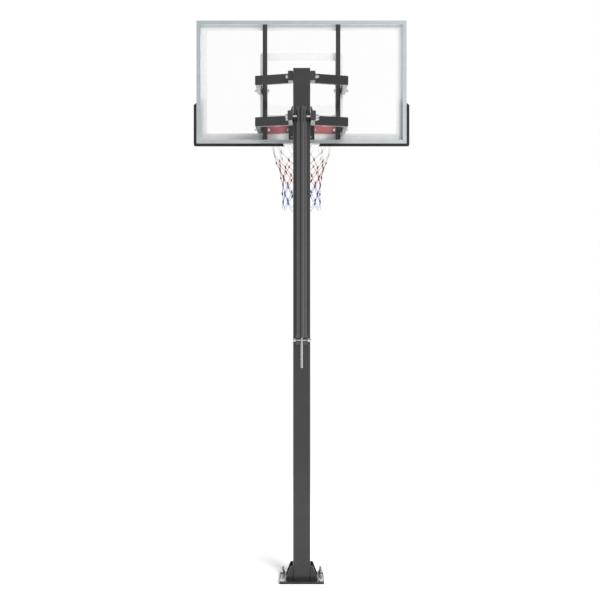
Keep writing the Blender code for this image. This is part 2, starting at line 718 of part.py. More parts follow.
def make_foot(steel, zinc):
    """A U-shaped bracket on the pole's back, and the bolt that the jack's foot swings on."""
    inner = BRACKET_INNER_WIDTH / 2
    outer = inner + BRACKET_THICKNESS
    root = -POLE_HALF - GAP
    tip = FOOT_PIN_Y - BRACKET_OVERHANG
    outline = (
        (-outer, root),
        (-outer, tip),
        (-inner, tip),
        (-inner, root - BRACKET_THICKNESS),
        (inner, root - BRACKET_THICKNESS),
        (inner, tip),
        (outer, tip),
        (outer, root),
    )
    half_height = BRACKET_HEIGHT / 2
    rings = [at_height(outline, FOOT_PIN_Z + z) for z in (-half_height, half_height)]
    bracket = loft("jack_foot_bracket", rings, steel)
    hole = [(0.0, FOOT_PIN_Y, FOOT_PIN_Z)]
    drill(bracket, "foot_pin_cutter", hole, TO_X, FOOT_PIN_RADIUS + GAP, 4 * outer)
    head = (FOOT_NUT_SIZE, BOLT_HEAD_HEIGHT)
    length = 2 * outer + 2 * GAP + NUT_HEIGHT + BOLT_TAIL
    start = (-outer - GAP, FOOT_PIN_Y, FOOT_PIN_Z)
    bolt("jack_foot_bolt", start, TO_X, length, FOOT_PIN_RADIUS, *head, zinc)
    end = (outer + GAP, FOOT_PIN_Y, FOOT_PIN_Z)
    nut("jack_foot_nut", end, TO_X, FOOT_PIN_RADIUS, FOOT_NUT_SIZE, NUT_HEIGHT, zinc)


def frame_outline():
    """The rail's section, as reach in from the outer edge and depth from the rear face."""
    slot_front = GLASS_FRONT + GAP - FRAME_REAR
    return (
        (0.0, 0.0),
        (FRAME_FACE, 0.0),
        (FRAME_FACE, UPRIGHT_DEPTH),
        (FRAME_EDGE, UPRIGHT_DEPTH),
        (FRAME_EDGE, slot_front),
        (FRAME_LIP, slot_front),
        (FRAME_LIP, FRAME_DEPTH),
        (0.0, FRAME_DEPTH),
    )


def rail_rings(outline, ends_overrun=0.0):
    """One mitred rail along X, its outer edge on the line z = 0 and its inner side above."""
    half = BOARD_HALF - GAP + ends_overrun
    rings = []
    for side in (-1, 1):
        rings.append([Vector((side * (half - reach), depth, reach)) for reach, depth in outline])
    return rings


def make_rail(name, length, centre, turn, aluminium, parent):
    """A mitred rail. Its rings are made for the board's width, then set to this length."""
    hollow = (
        (FRAME_WALL, FRAME_WALL),
        (FRAME_FACE - FRAME_WALL, FRAME_WALL),
        (FRAME_FACE - FRAME_WALL, UPRIGHT_DEPTH - FRAME_WALL),
        (FRAME_WALL, UPRIGHT_DEPTH - FRAME_WALL),
    )
    shift = (BOARD_WIDTH - length) / 2
    rings = rail_rings(frame_outline())
    cut_rings = rail_rings(hollow, ends_overrun=FRAME_FACE)
    for group in (rings, cut_rings):
        for sign, ring in zip((1, -1), group):
            for point in ring:
                point.x += sign * shift
    rail = place(loft(name, rings, aluminium), centre, turn, parent)
    cutter = place(loft(f"{name}_hollow_cutter", cut_rings, None), centre, turn)
    combine(rail, cutter, "DIFFERENCE")


def make_board(aluminium, glass, steel, parent):
    middle = (BOARD_BOTTOM + BOARD_TOP) / 2
    quarter = math.pi / 2
    rails = (
        ("frame_bottom", BOARD_WIDTH, (0.0, FRAME_REAR, BOARD_BOTTOM), 0.0),
        ("frame_right", BOARD_HEIGHT, (BOARD_HALF, FRAME_REAR, middle), -quarter),
        ("frame_top", BOARD_WIDTH, (0.0, FRAME_REAR, BOARD_TOP), 2 * quarter),
        ("frame_left", BOARD_HEIGHT, (-BOARD_HALF, FRAME_REAR, middle), quarter),
    )
    for name, length, centre, angle in rails:
        make_rail(name, length, centre, (0.0, angle, 0.0), aluminium, parent)
    edge = FRAME_EDGE + GAP
    low = (-BOARD_HALF + edge, GLASS_REAR, BOARD_BOTTOM + edge)
    high = (BOARD_HALF - edge, GLASS_FRONT, BOARD_TOP - edge)
    pane = place(loft("backboard_glass", box_rings(low, high), glass), (0.0, 0.0, 0.0), parent=parent)
    drill(pane, "glass_hole_cutter", rim_bolt_places(), TO_Y, RIM_BOLT_RADIUS + GAP, FRAME_DEPTH)
    outer = rounded_rectangle(UPRIGHT_WIDTH, UPRIGHT_DEPTH, UPRIGHT_WALL * 1.5)
    clear = (UPRIGHT_WIDTH - 2 * UPRIGHT_WALL, UPRIGHT_DEPTH - 2 * UPRIGHT_WALL)
    inner = rounded_rectangle(*clear, UPRIGHT_WALL / 2)
    bottom = BOARD_BOTTOM + FRAME_FACE + GAP
    top = BOARD_TOP - FRAME_FACE - GAP
    for side, sign in both_sides():
        x = sign * UPRIGHT_X
        post = tube(f"upright_{side}", outer, inner, bottom, top, steel)
        place(post, (x, BOARD_PIVOT_Y, 0.0), parent=parent)
        levels = (BOARD_PIVOT_Z, BOARD_PIVOT_Z + PIVOT_SPACING)
        centres = [(x, BOARD_PIVOT_Y, z) for z in levels]
        name = f"upright_{side}_cutter"
        drill(post, name, centres, TO_X, BOLT_RADIUS + GAP, 2 * UPRIGHT_WIDTH)


def pad_outline(lip_side, lip_bottom, taper):
    """The right pad seen from behind: outer edge with its round corner, then the inner edge.
    Both ends are cut along slanted lines, so that the lip is longer up the side than the wall."""
    edge = BOARD_HALF + GAP
    low_edge = BOARD_BOTTOM - GAP
    outer_x = edge + PAD_WALL - taper
    outer_z = low_edge - PAD_WALL + taper
    inner_x = edge - lip_side
    inner_z = low_edge + lip_bottom
    points = [pad_bottom_end(outer_z)]
    centre = (outer_x - PAD_CORNER, outer_z + PAD_CORNER)
    for step in range(PAD_CORNER_STEPS + 1):
        angle = math.radians(-90 + 90 * step / PAD_CORNER_STEPS)
        x = centre[0] + PAD_CORNER * math.cos(angle)
        z = centre[1] + PAD_CORNER * math.sin(angle)
        points.append((x, z))
    points += [pad_side_end(outer_x), pad_side_end(inner_x), (inner_x, inner_z)]
    points.append(pad_bottom_end(inner_z))
    return points


def pad_bottom_end(z):
    lowest = BOARD_BOTTOM - GAP - PAD_WALL
    return PAD_END_X + PAD_END_SLOPE * (z - lowest), z


def pad_side_end(x):
    widest = BOARD_HALF + GAP + PAD_WALL
    return x, BOARD_BOTTOM + PAD_RISE + PAD_END_SLOPE * (widest - x)


def make_pads(rubber, parent):
    """Two L-shaped pads: a wall under and beside the frame, and a lip over the board's face."""
    rear = FRAME_REAR + PAD_REAR_SETBACK
    lip_rear = FRAME_FRONT + GAP
    front = lip_rear + PAD_LIP_THICKNESS
    taper = PAD_TAPER * (lip_rear - rear) / (front - rear)
    lips = (PAD_LIP_SIDE, PAD_LIP_BOTTOM)
    layers = (
        (pad_outline(0.0, 0.0, 0.0), rear),
        (pad_outline(0.0, 0.0, taper), lip_rear),
        (pad_outline(*lips, taper), lip_rear),
        (pad_outline(*lips, PAD_TAPER), front),
    )
    for side, sign in both_sides():
        mesh_builder = bmesh.new()
        rings = [[Vector((sign * x, y, z)) for x, z in outline] for outline, y in layers]
        loft_into(mesh_builder, rings)
        bmesh.ops.remove_doubles(mesh_builder, verts=mesh_builder.verts, dist=1e-6)
        place(make_object(f"corner_pad_{side}", mesh_builder, rubber), (0.0, 0.0, 0.0), parent=parent)


def rim_bolt_places():
    places = []
    for z in (RIM_BOLT_Z, RIM_BOLT_Z + RIM_BOLT_SPACING_Z):
        for sign in (-1, 1):
            places.append((sign * RIM_BOLT_SPACING_X / 2, GLASS_FRONT, z))
    return places


def make_rim_mount(steel, red, zinc, parent):
    """The black U-bracket behind the glass and the red braces that tie it to the uprights."""
    outer = RIM_BRACKET_WIDTH / 2
    inner = outer - BRACKET_PLATE
    front = RIM_BRACKET_FRONT
    rear = front - RIM_BRACKET_DEPTH
    outline = (
        (-outer, front),
        (-outer, rear),
        (-inner, rear),
        (-inner, front - BRACKET_PLATE),
        (inner, front - BRACKET_PLATE),
        (inner, rear),
        (outer, rear),
        (outer, front),
    )
    levels = (BOARD_BOTTOM + RIM_BRACKET_BOTTOM, BOARD_BOTTOM + RIM_BRACKET_TOP)
    bracket = loft("rim_bracket", [at_height(outline, z) for z in levels], steel)
    place(bracket, (0.0, 0.0, 0.0), parent=parent)
    hole = RIM_BOLT_RADIUS + GAP
    drill(bracket, "rim_hole_cutter", rim_bolt_places(), TO_Y, hole, FRAME_DEPTH)
    brace_bolt = (0.0, BRACE_BOLT_Y, BRACE_Z)
    drill(bracket, "brace_hole_cutter", [brace_bolt], TO_X, hole, 2 * RIM_BRACKET_WIDTH)
    for side, sign in both_sides():
        make_brace(side, sign, outer + GAP, red, parent)
        turn = (0.0, -sign * math.pi / 2, 0.0)
        start = (sign * (outer + GAP + BRACE_THICKNESS + GAP), BRACE_BOLT_Y, BRACE_Z)
        length = BRACE_THICKNESS + BRACKET_PLATE + BRACE_BOLT_TAIL
        sizes = (RIM_BOLT_HEAD_SIZE, RIM_BOLT_HEAD_HEIGHT)
        bolt(f"brace_bolt_{side}", start, turn, length, RIM_BOLT_RADIUS, *sizes, zinc, parent)


def make_brace(side, sign, inner_x, red, parent):
    """A bar with both ends bent back into tabs, one on the bracket and one on the upright."""
    outer_x = UPRIGHT_X - UPRIGHT_WIDTH / 2 - GAP
    front = RIM_BRACKET_FRONT
    web_rear = front - BRACE_THICKNESS
    tab_rear = front - BRACE_TAB
    outline = (
        (inner_x, tab_rear),
        (inner_x + BRACE_THICKNESS, tab_rear),
        (inner_x + BRACE_THICKNESS, web_rear),
        (outer_x - BRACE_THICKNESS, web_rear),
        (outer_x - BRACE_THICKNESS, tab_rear),
        (outer_x, tab_rear),
        (outer_x, front),
        (inner_x, front),
    )
    bottom = []
    top = []
    for x, y in outline:
        rise = BRACE_BOTTOM_RISE * (outer_x - x) / (outer_x - inner_x)
        bottom.append(Vector((sign * x, y, BRACE_Z - BRACE_HEIGHT / 2 + rise)))
        top.append(Vector((sign * x, y, BRACE_Z + BRACE_HEIGHT / 2)))
    brace = place(loft(f"rim_brace_{side}", [bottom, top], red), (0.0, 0.0, 0.0), parent=parent)
    inner_hole = [(sign * inner_x, BRACE_BOLT_Y, BRACE_Z)]
    hole = RIM_BOLT_RADIUS + GAP
    drill(brace, f"brace_{side}_inner_cutter", inner_hole, TO_X, hole, 4 * BRACE_THICKNESS)
    outer_hole = [(sign * outer_x, BOARD_PIVOT_Y, BOARD_PIVOT_Z)]
    hole = BOLT_RADIUS + GAP
    drill(brace, f"brace_{side}_outer_cutter", outer_hole, TO_X, hole, 4 * BRACE_THICKNESS)


def make_rim(red, zinc, parent):
    half = RIM_PLATE_WIDTH / 2
    low = (-half, RIM_PLATE_REAR, BOARD_BOTTOM + RIM_PLATE_BOTTOM)
    high = (half, RIM_PLATE_FRONT, BOARD_BOTTOM + RIM_PLATE_TOP)
    plate = place(loft("rim_plate", box_rings(low, high), red), (0.0, 0.0, 0.0), parent=parent)
    hole = RIM_BOLT_RADIUS + GAP
    drill(plate, "rim_plate_cutter", rim_bolt_places(), TO_Y, hole, FRAME_DEPTH)
    rings = []
    for i in range(RING_SIDES):
        angle = 2 * math.pi * i / RING_SIDES
        ring = []
        for u, v in circle(RING_BAR_RADIUS, RING_BAR_SIDES):
            reach = RING_RADIUS + u
            ring.append(Vector((reach * math.cos(angle), reach * math.sin(angle), v)))
        rings.append(ring)
    rim = loft("rim_ring", rings, red, closed_loop=True)
    place(rim, (0.0, RING_Y, RING_Z), parent=parent)
    combine(rim, place(make_neck(), (0.0, RING_Y, RING_Z)), "UNION")
    for side, sign in both_sides():
        web = make_web(f"rim_web_{side}", sign)
        combine(rim, place(web, (0.0, RING_Y, RING_Z)), "UNION")
    back = RIM_BRACKET_FRONT - BRACKET_PLATE
    start_y = RIM_PLATE_FRONT + GAP
    length = start_y - back + RIM_BOLT_TAIL
    names = ("lower_left", "lower_right", "upper_left", "upper_right")
    sizes = (RIM_BOLT_HEAD_SIZE, RIM_BOLT_HEAD_HEIGHT)
    for name, (x, _, z) in zip(names, rim_bolt_places()):
        turn = (math.pi / 2, 0.0, 0.0)
        start = (x, start_y, z)
        bolt(f"rim_bolt_{name}", start, turn, length, RIM_BOLT_RADIUS, *sizes, zinc, parent)


def make_neck():
    """The flat top plate between the mounting plate and the ring, about the ring's centre."""
    rear = RIM_PLATE_FRONT + GAP - RING_Y
    outline = [(NECK_WIDTH / 2, rear), (-NECK_WIDTH / 2, rear)]
    steps = 8
    for step in range(steps + 1):
        angle = -math.pi / 2 - NECK_ANGLE + 2 * NECK_ANGLE * step / steps
        outline.append((RING_RADIUS * math.cos(angle), RING_RADIUS * math.sin(angle)))
    half = NECK_THICKNESS / 2
    return loft("rim_neck", [at_height(outline, -half), at_height(outline, half)], None)


def make_web(name, sign):
    """A triangular side plate under the neck, from the mounting plate towards the ring."""
    rear = RIM_PLATE_FRONT + GAP - RING_Y
    outline = (
        (rear, 0.0),
        (rear, -WEB_DROP),
        (rear + WEB_THICKNESS, -WEB_DROP),
        (rear + WEB_REACH, -NECK_THICKNESS),
        (rear + WEB_REACH, 0.0),
    )
    middle = sign * WEB_SPACING / 2
    xs = (middle - WEB_THICKNESS / 2, middle + WEB_THICKNESS / 2)
    return loft(name, [[Vector((x, y, z)) for y, z in outline] for x in xs], None)


def make_net(cord, parent):
    """Diamonds of cord between rows of knots that are half a step apart, row by row."""
    mesh_builder = bmesh.new()
    rows = []
    for row, (radius, drop) in enumerate(NET_ROWS):
        points = []
        for i in range(NET_LOOPS):
            angle = 2 * math.pi * (i + 0.5 * (row % 2)) / NET_LOOPS
            place_now = (radius * math.cos(angle), radius * math.sin(angle), -drop)
            points.append(mesh_builder.verts.new(place_now))
        rows.append(points)
    for row in range(len(rows) - 2):
        top, middle, bottom = rows[row:row + 3]
        for i in range(NET_LOOPS):
            left = middle[(i - 1 + row % 2) % NET_LOOPS]
            right = middle[(i + row % 2) % NET_LOOPS]
            mesh_builder.faces.new((top[i], left, bottom[i], right))
    bmesh.ops.recalc_face_normals(mesh_builder, faces=mesh_builder.faces)
    diamonds = list(mesh_builder.faces)
    bmesh.ops.inset_individual(mesh_builder, faces=diamonds, thickness=NET_CORD / 2)
    bmesh.ops.delete(mesh_builder, geom=diamonds, context="FACES_ONLY")
    net = make_object("net", mesh_builder, cord)
    place(net, (0.0, RING_Y, RING_Z), parent=parent)
    thickness = net.modifiers.new("Cord", "SOLIDIFY")
    thickness.thickness = NET_CORD
    thickness.offset = 0.0


def build():
    clear_scene()
    black = make_material("black_powder_coat", "363636", 0.42, 0.3)
    zinc = make_material("zinc_plate", "C9CACC", 0.35, 1.0)
    brass = make_material("brass", "B08D4A", 0.4, 1.0)
    plastic = make_material("black_plastic", "262626", 0.55)
    aluminium = make_material("silver_anodised", "B4B8BC", 0.35, 0.9)
    glass = make_material("clear_glass", "F2F6F6", 0.05, 0.0, 0.3)
    rubber = make_material("pad_rubber", "262626", 0.8)
    red = make_material("red_powder_coat", "A5342F", 0.45)
    cord = make_material("net_cord", "E6E6E6", 0.9)
    lower_axis = make_axis("lower_arm_axis", (0.0, 0.0, LOWER_PIVOT_Z))
    upper_axis = make_axis("upper_arm_axis", (0.0, 0.0, UPPER_PIVOT_Z))
    board_axis = make_axis("board_axis", (0.0, BOARD_PIVOT_Y, BOARD_PIVOT_Z))
    pin_axis = make_axis("jack_pin_axis", (0.0, JACK_Y, JACK_PIN_Z))
    slide_axis = make_axis("jack_slide_axis", (0.0, JACK_Y, JACK_TUBE_TOP_Z))
    crank_axis = make_axis("crank_axis", (0.0, JACK_Y, CRANK_END_Z))
    make_base(black, zinc)
    make_pole(black, plastic)
    make_arms(black, zinc, lower_axis, upper_axis, board_axis)
    make_jack(black, zinc, brass, lower_axis, pin_axis, slide_axis, crank_axis)
    make_board(aluminium, glass, black, board_axis)
    make_pads(rubber, board_axis)
    make_rim_mount(black, red, zinc, board_axis)
    make_rim(red, zinc, board_axis)
    make_net(cord, board_axis)


build()
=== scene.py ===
import math

import bmesh
import bpy
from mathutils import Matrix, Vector


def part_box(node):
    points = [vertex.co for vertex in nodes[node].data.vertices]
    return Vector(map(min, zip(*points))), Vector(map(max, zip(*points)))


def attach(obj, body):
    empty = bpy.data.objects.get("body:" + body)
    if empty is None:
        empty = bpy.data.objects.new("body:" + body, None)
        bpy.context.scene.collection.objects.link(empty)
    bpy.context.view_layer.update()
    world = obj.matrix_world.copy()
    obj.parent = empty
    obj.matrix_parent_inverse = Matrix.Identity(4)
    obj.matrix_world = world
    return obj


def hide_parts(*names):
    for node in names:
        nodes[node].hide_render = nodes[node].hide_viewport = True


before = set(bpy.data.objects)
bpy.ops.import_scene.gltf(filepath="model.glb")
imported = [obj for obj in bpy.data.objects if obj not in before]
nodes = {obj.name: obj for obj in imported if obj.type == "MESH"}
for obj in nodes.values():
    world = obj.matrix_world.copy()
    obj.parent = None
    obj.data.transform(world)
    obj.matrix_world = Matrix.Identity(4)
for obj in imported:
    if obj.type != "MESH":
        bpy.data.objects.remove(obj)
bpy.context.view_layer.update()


# Surroundings: a pale seamless floor that takes the shadow, a white studio all round, one soft
# key light from the right behind the camera, and a level camera behind the hoop.

def linear(code):
    """A hex colour code as linear red, green, blue and an alpha of 1."""
    parts = [int(code[i:i + 2], 16) / 255 for i in (0, 2, 4)]
    light = [p / 12.92 if p <= 0.04045 else ((p + 0.055) / 1.055) ** 2.4 for p in parts]
    return (*light, 1.0)


def add_node(tree, kind, inputs=None, stops=(), **settings):
    """Adds a shader node. An input is a value, or a socket to link from.

    Each colour stop is its position and its hex colour or grey level.
    """
    node = tree.nodes.new(kind)
    for name, value in settings.items():
        setattr(node, name, value)
    for name, value in (inputs or {}).items():
        if isinstance(value, bpy.types.NodeSocket):
            tree.links.new(value, node.inputs[name])
        else:
            node.inputs[name].default_value = value
    while stops and len(node.color_ramp.elements) < len(stops):
        node.color_ramp.elements.new(0.5)
    for place, (position, tone) in enumerate(stops):
        node.color_ramp.elements[place].position = position
        level = linear(tone) if isinstance(tone, str) else (tone, tone, tone, 1.0)
        node.color_ramp.elements[place].color = level
    return node


def empty_material(name):
    """A new material with no nodes yet, and its node tree."""
    material = bpy.data.materials.new(name)
    material.use_nodes = True
    material.node_tree.nodes.clear()
    return material, material.node_tree


floor_mesh = bpy.data.meshes.new("floor")
half = 60.0
floor_mesh.from_pydata([(-half, -half, 0), (half, -half, 0), (half, half, 0), (-half, half, 0)],
                       [], [(0, 1, 2, 3)])
floor = bpy.data.objects.new("floor", floor_mesh)
bpy.context.scene.collection.objects.link(floor)
# Half a millimetre down, so that the base plate's underside stays clear of it.
floor.location.z = -0.0005
# Pale matt studio floor: near white with a faint cloudiness, so that only the shadow shows.
floor_finish, tree = empty_material("pale_studio_floor")
place = add_node(tree, "ShaderNodeTexCoord").outputs["Object"]
clouds = add_node(tree, "ShaderNodeTexNoise", {"Vector": place, "Scale": 0.7, "Detail": 2.0})
tone = add_node(tree, "ShaderNodeValToRGB", {"Fac": clouds.outputs["Fac"]},
                stops=((0.3, "fafafa"), (0.7, "fdfdfd"))).outputs["Color"]
shell = add_node(tree, "ShaderNodeBsdfDiffuse", {"Color": tone, "Roughness": 1.0})
# From 1.6 to 3.2 m out, past the shadow, the floor runs over into the white of the studio.
reach = add_node(tree, "ShaderNodeVectorMath", {0: place}, operation="LENGTH").outputs["Value"]
way_out = add_node(tree, "ShaderNodeMapRange", {
    "Value": reach, "From Min": 1.6, "From Max": 3.2}).outputs["Result"]
fade = add_node(tree, "ShaderNodeValToRGB", {"Fac": way_out},
                stops=((0.0, 0.0), (1.0, 1.0))).outputs["Color"]
open_white = add_node(tree, "ShaderNodeBsdfTransparent")
floor_mix = add_node(tree, "ShaderNodeMixShader", {
    "Fac": fade, 1: shell.outputs["BSDF"], 2: open_white.outputs["BSDF"]})
add_node(tree, "ShaderNodeOutputMaterial", {"Surface": floor_mix.outputs[0]})
floor_mesh.materials.append(floor_finish)

world = bpy.data.worlds.new("white_studio")
world.use_nodes = True
bpy.context.scene.world = world
tree = world.node_tree
tree.nodes.clear()
direction = add_node(tree, "ShaderNodeTexCoord").outputs["Generated"]
parts = add_node(tree, "ShaderNodeSeparateXYZ", {"Vector": direction})
height = parts.outputs["Z"]
rays = add_node(tree, "ShaderNodeLightPath")
white = add_node(tree, "ShaderNodeBackground", {"Color": (1, 1, 1, 1), "Strength": 1.0})
# What polished surfaces mirror: a white floor and far wall, a dimmer ceiling, and on the camera's
# side a ring of bright and dim panels, with one black flag on the left that stripes the jack.
room = add_node(tree, "ShaderNodeValToRGB", {"Fac": height},
                stops=((0.0, 1.0), (0.25, 0.80), (0.8, 0.5))).outputs["Color"]
toward_camera = add_node(tree, "ShaderNodeMath", {0: parts.outputs["Y"], 1: -1.0},
                         operation="MULTIPLY")
bearing = add_node(tree, "ShaderNodeMath", {0: parts.outputs["X"], 1: toward_camera.outputs[0]},
                   operation="ARCTAN2")
round_wall = add_node(tree, "ShaderNodeMapRange", {
    "Value": bearing.outputs[0], "From Min": -math.pi, "From Max": math.pi})
# A position is a share of the full turn: 0.25 is left, 0.5 behind the camera and 0.75 right.
wall = add_node(tree, "ShaderNodeValToRGB", {"Fac": round_wall.outputs["Result"]}, stops=(
    (0.15, 1.0), (0.21, 0.5), (0.25, 1.0), (0.285, 0.12), (0.355, 0.12), (0.395, 0.9),
    (0.45, 0.48), (0.50, 0.75), (0.515, 1.0), (0.545, 1.0), (0.575, 0.5), (0.625, 0.45),
    (0.655, 1.0), (0.735, 1.0))).outputs["Color"]
mirror_tone = add_node(tree, "ShaderNodeMix", {"Factor": 1.0, 6: room, 7: wall},
                       data_type="RGBA", blend_type="MULTIPLY").outputs[2]
mirrored = add_node(tree, "ShaderNodeBackground", {"Color": mirror_tone, "Strength": 1.0})
# What lights matt surfaces: an even fill that is stronger from overhead.
fill = add_node(tree, "ShaderNodeValToRGB", {"Fac": height},
                stops=((0.0, 0.66), (0.2, 0.67), (1.0, 1.0))).outputs["Color"]
ambient = add_node(tree, "ShaderNodeBackground", {"Color": fill, "Strength": 1.0})
# Matt surfaces take the even fill by way of metal too, so the black flag stays off the print.
first_gloss = add_node(tree, "ShaderNodeMath", {
    0: rays.outputs["Is Glossy Ray"], 1: rays.outputs["Diffuse Depth"]}, operation="SUBTRACT")
gloss = add_node(tree, "ShaderNodeMixShader", {
    "Fac": first_gloss.outputs[0], 1: ambient.outputs[0], 2: mirrored.outputs[0]})
seen = add_node(tree, "ShaderNodeMath", {
    0: rays.outputs["Is Camera Ray"], 1: rays.outputs["Is Transmission Ray"]}, operation="MAXIMUM")
sky = add_node(tree, "ShaderNodeMixShader", {
    "Fac": seen.outputs[0], 1: gloss.outputs[0], 2: white.outputs[0]})
add_node(tree, "ShaderNodeOutputWorld", {"Surface": sky.outputs[0]})

key_data = bpy.data.lights.new("key_softbox", "AREA")
key_data.shape = "RECTANGLE"
key_data.size = 3.6
key_data.size_y = 3.2
key_data.energy = 470.0
key_data.color = (1.0, 0.985, 0.96)
key = bpy.data.objects.new("key_softbox", key_data)
# The panels painted in the world are what gloss mirrors, so the lamp itself stays out of it.
key.visible_glossy = False
key.location = (3.6, -6.2, 4.9)
aim = Vector((0.0, 0.2, 2.0))
key.rotation_euler = (aim - key.location).to_track_quat("-Z", "Y").to_euler()
bpy.context.scene.collection.objects.link(key)

camera_data = bpy.data.cameras.new("photo_camera")
camera_data.lens = 50.0
camera_data.sensor_width = 36.0
camera_data.clip_end = 200.0
camera = bpy.data.objects.new("photo_camera", camera_data)
camera.location = (-0.010, -4.981, 1.666)
camera.rotation_euler = (math.pi / 2, 0.0, 0.0)
bpy.context.scene.collection.objects.link(camera)
bpy.context.scene.camera = camera
bpy.context.scene.view_settings.view_transform = "Standard"


# Base plate and pole: welded steel in one black powder coat. A ground flange with gussets carries
# a square tube; weld beads run round the tube's foot and down the gussets.

def paint(names, material):
    """Gives CAD nodes a finish through their objects' material slots."""
    for name in names:
        for place_in_list in nodes[name].material_slots:
            place_in_list.link = "OBJECT"
            place_in_list.material = material


def powder_coat(name, dark, light, dust, film=1.5):
    """Baked powder paint, pebbled and faintly dusty; film is the film's refractive index."""
    material, tree = empty_material(name)
    place = add_node(tree, "ShaderNodeTexCoord").outputs["Object"]
    # The cured film's orange peel, pebbles about 1.6 mm across.
    peel = add_node(tree, "ShaderNodeTexNoise", {"Vector": place, "Scale": 620.0, "Detail": 1.5})
    relief = add_node(tree, "ShaderNodeBump", {
        "Height": peel.outputs["Fac"], "Distance": 0.00004, "Strength": 0.35})
    # Hand marks and dust in clouds about 120 mm across.
    clouds = add_node(tree, "ShaderNodeTexNoise", {
        "Vector": place, "Scale": 8.0, "Detail": 6.0, "Roughness": 0.62})
    tone = add_node(tree, "ShaderNodeValToRGB", {"Fac": clouds.outputs["Fac"]},
                    stops=((0.30, dark), (0.56, light), (0.86, dust))).outputs["Color"]
    sheen = add_node(tree, "ShaderNodeMapRange", {
        "Value": clouds.outputs["Fac"], "From Min": 0.3, "From Max": 0.75,
        "To Min": 0.24, "To Max": 0.40})
    shell = add_node(tree, "ShaderNodeBsdfPrincipled", {
        "Base Color": tone, "Roughness": sheen.outputs["Result"], "IOR": 1.40,
        "Coat Weight": 1.0, "Coat IOR": film, "Coat Roughness": 0.12,
        "Normal": relief.outputs["Normal"]})
    add_node(tree, "ShaderNodeOutputMaterial", {"Surface": shell.outputs["BSDF"]})
    return material


def solid(name, builder, material, body, smooth=True):
    """Makes a mesh piece, already in place, that rides on a CAD body."""
    mesh = bpy.data.meshes.new(name)
    bmesh.ops.recalc_face_normals(builder, faces=builder.faces)
    builder.to_mesh(mesh)
    builder.free()
    mesh.polygons.foreach_set("use_smooth", [smooth] * len(mesh.polygons))
    mesh.materials.append(material)
    piece = bpy.data.objects.new(name, mesh)
    bpy.context.scene.collection.objects.link(piece)
    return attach(piece, body)


def sweep(builder, path, radii, sides=8, closed=False):
    """Adds a round skin along a path of points; radii holds one radius for each point."""
    count = len(path)
    rings = []
    normal = None
    for i, point in enumerate(path):
        ahead = path[(i + 1) % count] if closed else path[min(i + 1, count - 1)]
        behind = path[i - 1] if closed else path[max(i - 1, 0)]
        along = (ahead - behind).normalized()
        if normal is None:
            normal = along.orthogonal().normalized()
        normal = (normal - along * normal.dot(along)).normalized()
        across = along.cross(normal)
        ring = []
        for k in range(sides):
            turn = 2 * math.pi * k / sides
            offset = normal * math.cos(turn) + across * math.sin(turn)
            ring.append(builder.verts.new(point + offset * radii[i]))
        rings.append(ring)
    pairs = list(zip(rings, rings[1:])) + ([(rings[-1], rings[0])] if closed else [])
    for first, second in pairs:
        for k in range(sides):
            j = (k + 1) % sides
            builder.faces.new((first[k], first[j], second[j], second[k]))
    if not closed:
        builder.faces.new(rings[0])
        builder.faces.new(rings[-1])


def weld_bead(builder, corners, radius, closed):
    """A laid bead with a ripple every 3.5 mm, along straight runs between corner points."""
    half_ripple = 0.00175
    crest = 1.12
    dip = 0.86
    path = []
    runs = list(zip(corners, corners[1:])) + ([(corners[-1], corners[0])] if closed else [])
    for start, end in runs:
        steps = max(2, round((end - start).length / half_ripple))
        path += [start.lerp(end, k / steps) for k in range(steps)]
    if not closed:
        path.append(corners[-1])
    radii = [radius * (crest if i % 2 else dip) for i in range(len(path))]
    sweep(builder, path, radii, sides=6, closed=closed)


# Near-black gloss powder coat: dark when faced, bright where it mirrors the floor at a low angle.
black_coat = powder_coat("black_powder_coat", "202022", "262628", "303032")
paint(["base_plate", "pole"], black_coat)

pole_low, pole_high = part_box("pole")
gusset_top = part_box("base_plate")[1].z
gusset_reach = 0.0425
gusset_inset = 0.0068
root_gap = 0.0003
tube_corner = 0.007
pole_bead = 0.0026
gusset_bead = 0.0020
# A bead's centre line stands this far off the plate or the tube's face, and a gusset's beads
# start a little outside the corner and stop short of the gusset's tips.
pole_lift = 0.0015
gusset_lift = 0.0012
start_out = 0.002
start_up = 0.004
stop_short = 0.003
plate_top = pole_low.z - root_gap
face = pole_high.x
cut = face - tube_corner
beads = bmesh.new()
foot = [(face, -cut), (face, cut), (cut, face), (-cut, face),
        (-face, cut), (-face, -cut), (-cut, -face), (cut, -face)]
weld_bead(beads, [Vector((x, y, plate_top + pole_lift)) for x, y in foot], pole_bead, True)
for side in (-1, 1):
    for end in (-1, 1):
        y = end * (face - gusset_inset)
        outward = [Vector((side * (face + start_out), y, plate_top + gusset_lift)),
                   Vector((side * (face + gusset_reach - stop_short), y, plate_top + gusset_lift))]
        upward = [Vector((side * (face + gusset_lift), y, plate_top + start_up)),
                  Vector((side * (face + gusset_lift), y, gusset_top - stop_short))]
        weld_bead(beads, outward, gusset_bead, False)
        weld_bead(beads, upward, gusset_bead, False)
foot_beads = solid("weld_beads_foot", beads, black_coat, "pole")


# Pole cap and pivot sleeves: a pressed-in plastic cap with a moulded grain, and two steel sleeves
# welded through the pole for the arms' pivot bolts.

